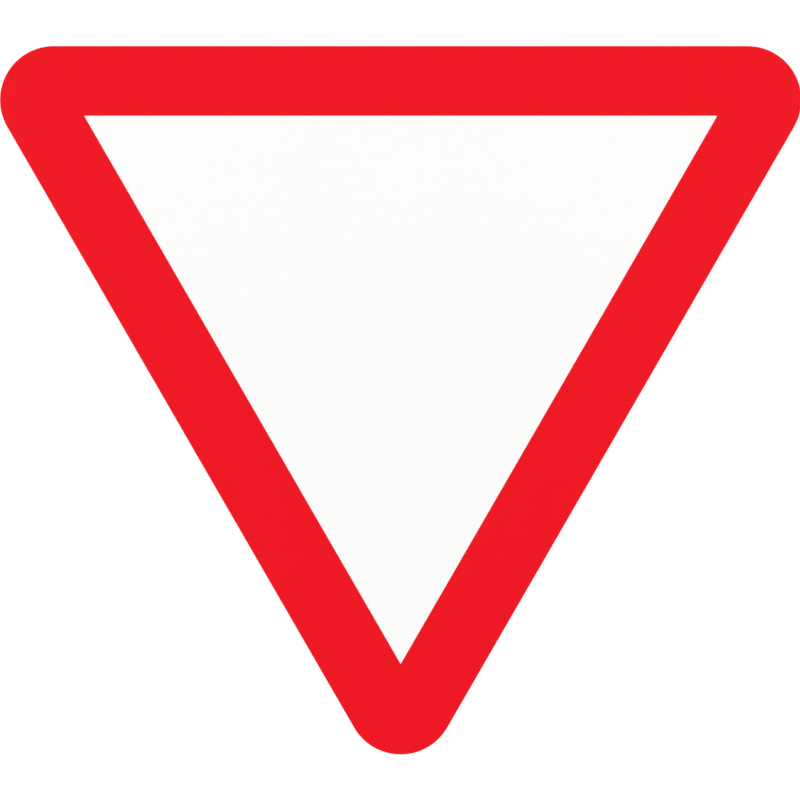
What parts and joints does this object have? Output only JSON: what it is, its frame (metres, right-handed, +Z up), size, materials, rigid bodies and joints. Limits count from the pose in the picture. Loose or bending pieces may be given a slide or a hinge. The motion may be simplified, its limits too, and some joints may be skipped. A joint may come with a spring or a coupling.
{
  "type": "give way sign",
  "caption": "Triangular give way road sign, point down: red border round a white face, with channel rails behind and clips for a round post.",
  "frame": {"origin": "on the axis of the post that the clips hold, midway between the two clips", "axes": "+Z up along the post, -Y out of the sign's face, +X to the right of someone who looks at the face"},
  "size_m": [0.8484, 0.0957, 0.7499],
  "materials": {
    "plate_aluminium": "satin",
    "white_sheeting": "gloss",
    "red_film": "gloss",
    "rail_aluminium": "satin",
    "rivet_aluminium": "satin",
    "clip_aluminium": "satin",
    "zinc_steel": "satin",
    "nylon": "matte"
  },
  "bodies": {
    "root": {"sign_plate": "plate_aluminium", "face_sheeting": "white_sheeting", "border_film": "red_film", "upper_rail": "rail_aluminium", "lower_rail": "rail_aluminium", "upper_rail_rivets": "rivet_aluminium", "lower_rail_rivets": "rivet_aluminium", "upper_clip": "clip_aluminium", "lower_clip": "clip_aluminium", "upper_clip_bolts": "zinc_steel", "lower_clip_bolts": "zinc_steel", "upper_clip_washers": "zinc_steel", "lower_clip_washers": "zinc_steel", "upper_clip_nuts": "zinc_steel", "lower_clip_nuts": "zinc_steel", "upper_nut_rings": "nylon", "lower_nut_rings": "nylon"}
  },
  "joints": []
}
